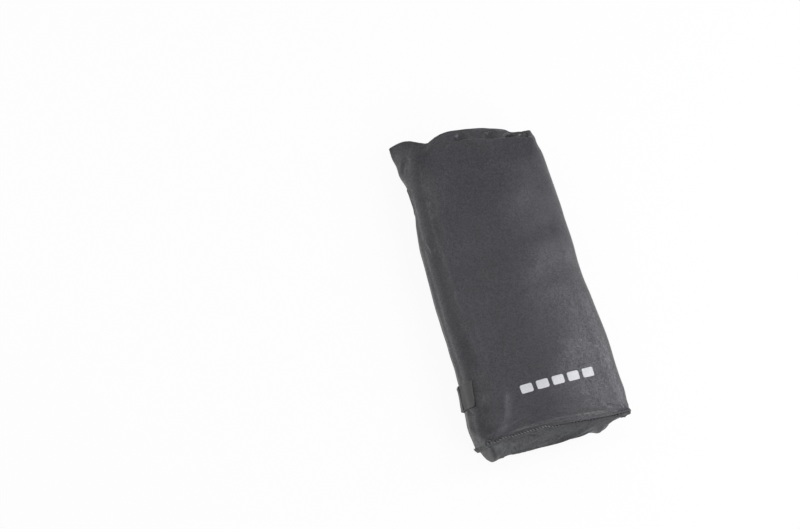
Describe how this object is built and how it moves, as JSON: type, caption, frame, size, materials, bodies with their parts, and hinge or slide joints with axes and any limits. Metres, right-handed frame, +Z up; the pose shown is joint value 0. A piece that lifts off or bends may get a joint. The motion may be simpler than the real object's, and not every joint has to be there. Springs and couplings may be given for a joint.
{
  "type": "fork protector",
  "caption": "Padded fabric sleeve with a closed base and an open mouth that slips over the ends of a bicycle fork to guard it in transport.",
  "frame": {"origin": "on the surface that the sleeve lies on, under the middle of its bounding box", "axes": "+X across the sleeve, +Y along it from the closed base to the open mouth, +Z up from its back to its front"},
  "size_m": [0.1618, 0.338, 0.0581],
  "materials": {
    "outer_cloth": "dark grey coated polyester plain weave with a soft sheen",
    "base_cloth": "dark grey coated polyester plain weave, unpadded",
    "lining_cloth": "black fine woven lining",
    "padding": "grey closed-cell foam board",
    "binding_tape": "dark grey folded seam with small stitches",
    "webbing": "dark grey ribbed woven webbing",
    "print": "light grey flat print"
  },
  "bodies": {
    "root": {"outer_wrap": "outer_cloth", "back_panel": "outer_cloth", "base_panel": "base_cloth", "base_binding": "binding_tape", "lining": "lining_cloth", "front_foam": "padding", "right_foam": "padding", "back_foam": "padding", "left_foam": "padding", "lower_webbing_loop": "webbing", "upper_webbing_loop": "webbing", "printed_mark_1": "print", "printed_mark_2": "print", "printed_mark_3": "print", "printed_mark_4": "print", "printed_mark_5": "print"}
  },
  "joints": []
}
